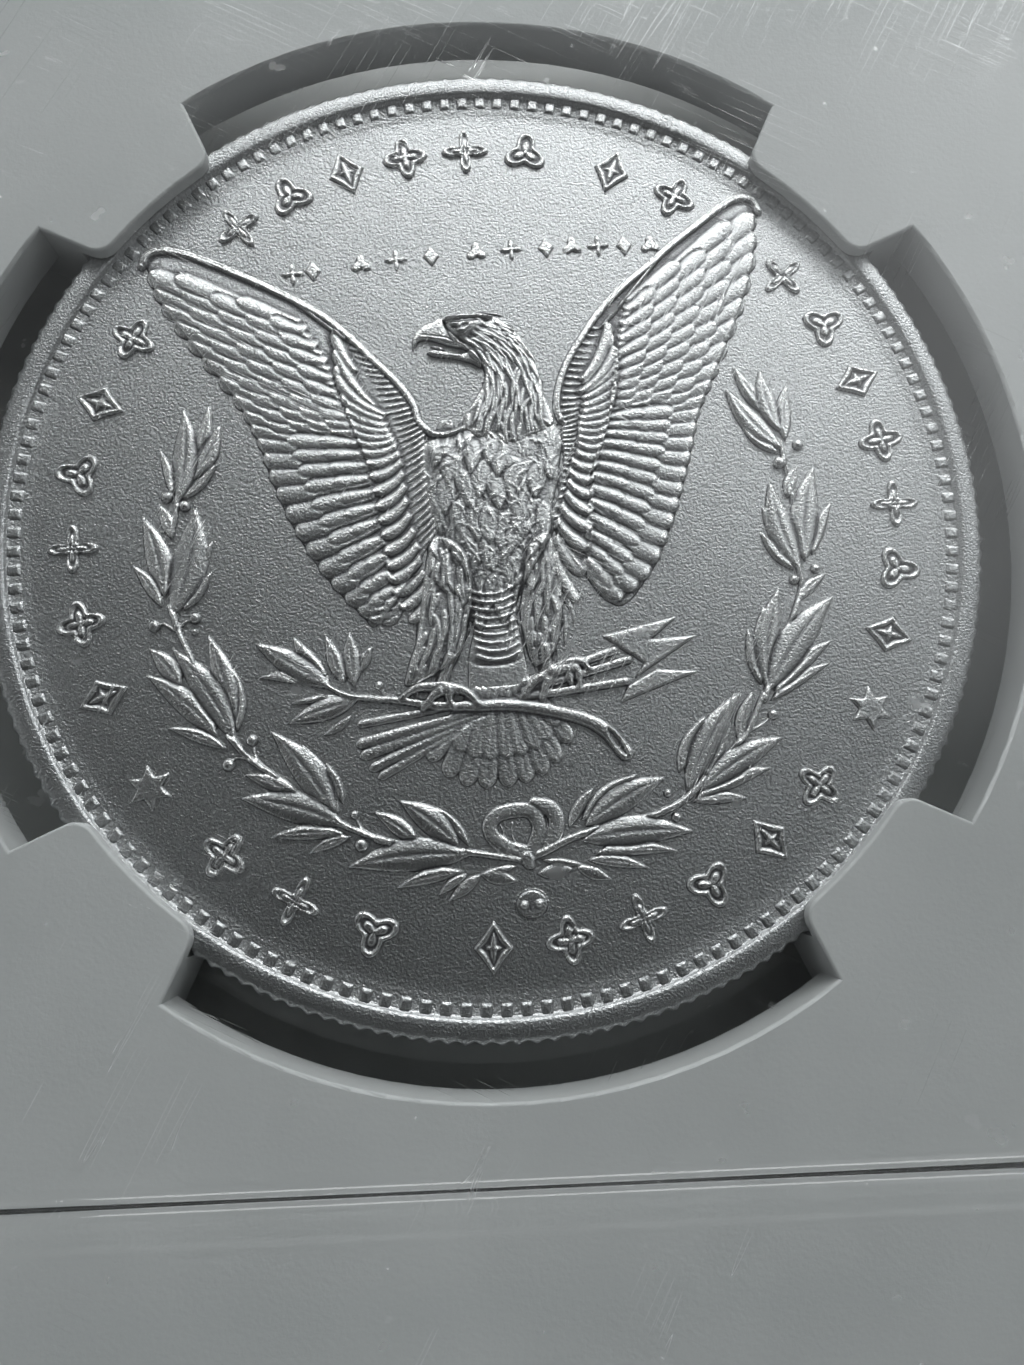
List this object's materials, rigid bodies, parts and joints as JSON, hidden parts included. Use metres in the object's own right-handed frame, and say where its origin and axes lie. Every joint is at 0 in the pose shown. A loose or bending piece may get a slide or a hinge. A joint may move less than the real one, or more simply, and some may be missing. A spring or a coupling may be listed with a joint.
{
  "type": "graded coin slab",
  "caption": "Sealed clear two-part slab with a white pronged insert that holds one large silver coin, label cards and a foil seal.",
  "frame": {"origin": "bottom centre of the slab's box: the slab lies flat with the coin's reverse side up", "axes": "+Y along the slab's length towards the coin end, +Z out of the coin's reverse side"},
  "size_m": [0.06, 0.084, 0.008],
  "materials": {
    "clear_shell": "clear moulded polystyrene, lightly scuffed",
    "white_core": "satin white moulding",
    "coin_silver": "frosted mint lustre",
    "label_paper": "uncoated card",
    "foil": "embossed foil"
  },
  "bodies": {
    "slab": {"rear_shell": "clear_shell", "front_shell": "clear_shell", "coin_core": "white_core", "rear_label_card": "label_paper", "front_label_card": "label_paper", "foil_seal": "foil"},
    "coin": {"coin": "coin_silver"}
  },
  "joints": [
    {"name": "coin_turn", "type": "hinge", "parent": "slab", "child": "coin", "pos_m": [0, 0.015, 0.004], "axis": [0, 0, 1], "continuous": true}
  ]
}
